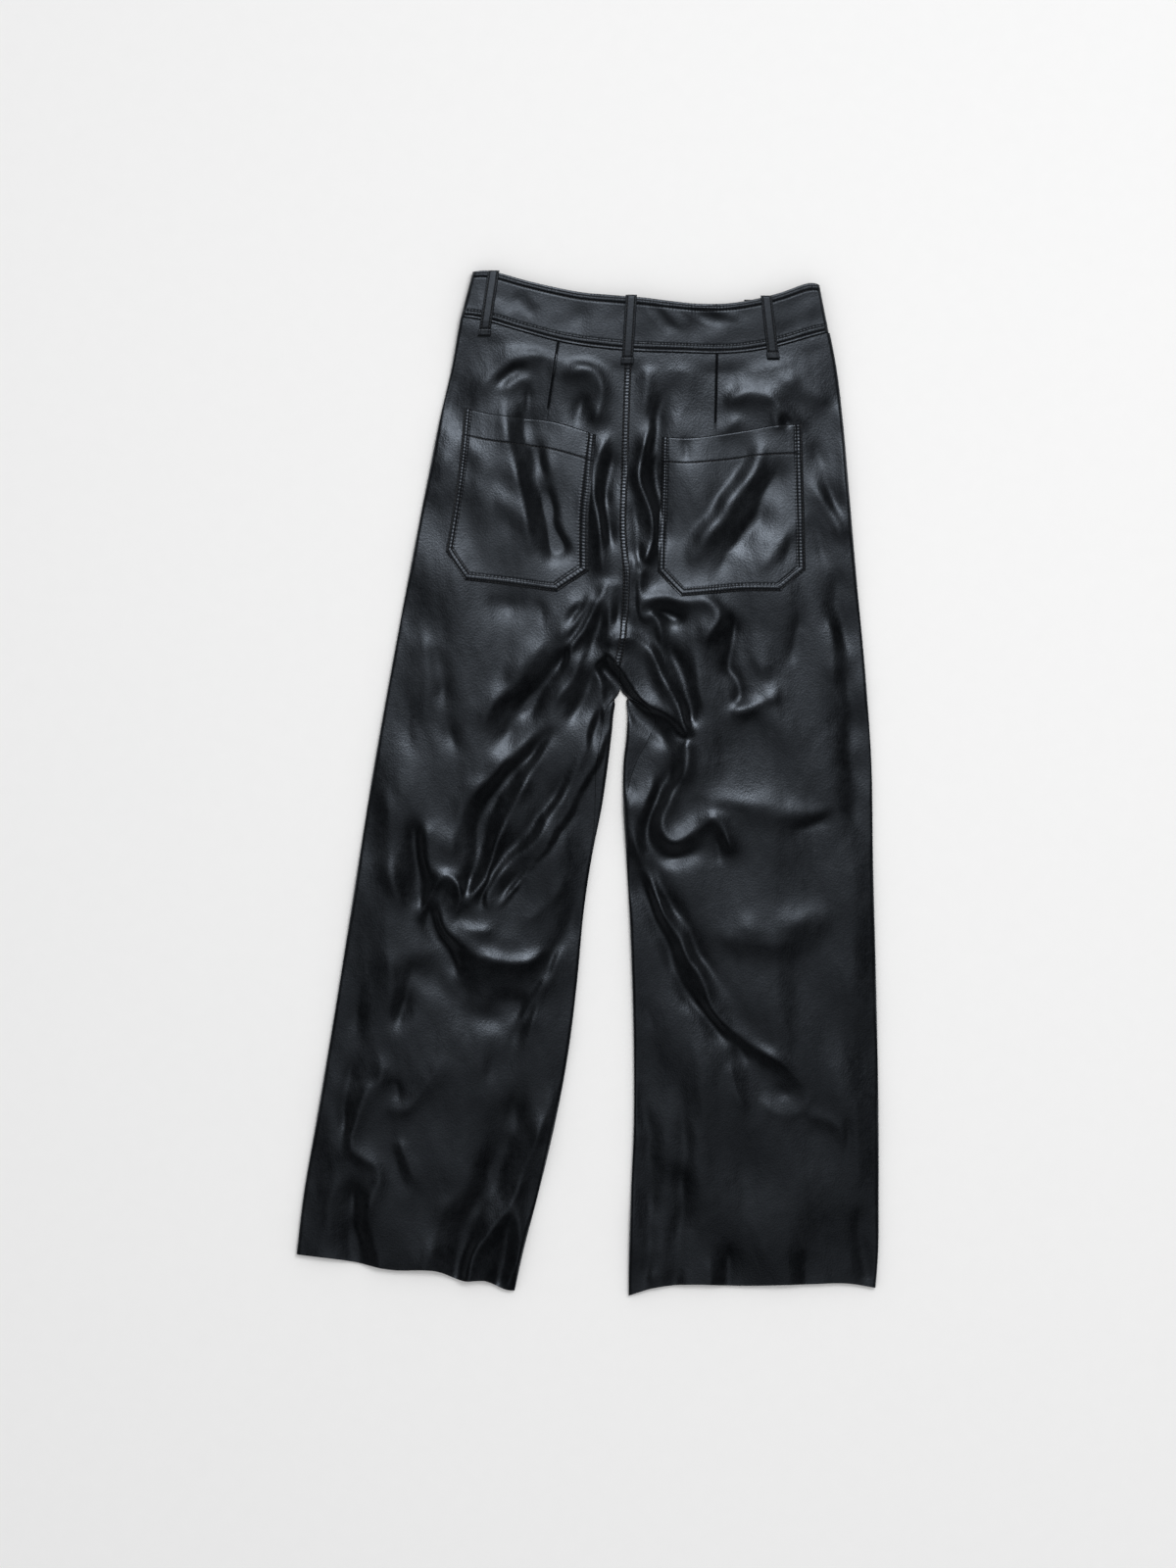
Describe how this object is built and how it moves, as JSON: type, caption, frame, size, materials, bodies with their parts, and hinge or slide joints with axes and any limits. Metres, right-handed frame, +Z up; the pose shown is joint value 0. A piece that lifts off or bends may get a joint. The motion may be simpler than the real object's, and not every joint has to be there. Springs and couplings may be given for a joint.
{
  "type": "leather trousers",
  "caption": "Black high-waist wide-leg cropped leather trousers, laid flat with the back up, with patch pockets and belt loops.",
  "frame": {"origin": "middle of the garment's outline, on the surface that it lies on", "axes": "+Y along the garment towards the waist, +X towards the wearer's right, +Z up out of the back"},
  "size_m": [0.5638, 0.9917, 0.0175],
  "materials": {
    "leather": "black satin with a fine grain",
    "zip_tape": "woven polyester tape",
    "zip_metal": "dark nickel"
  },
  "bodies": {
    "root": {"back_left": "leather", "back_right": "leather", "front_left": "leather", "front_right": "leather", "pocket_left": "leather", "pocket_right": "leather", "waistband_back": "leather", "waistband_front_left": "leather", "waistband_front_right": "leather", "loop_back_left": "leather", "loop_back_centre": "leather", "loop_back_right": "leather", "loop_front_left": "leather", "loop_front_right": "leather", "zip_tape": "zip_tape", "zip_slider": "zip_metal"}
  },
  "joints": []
}
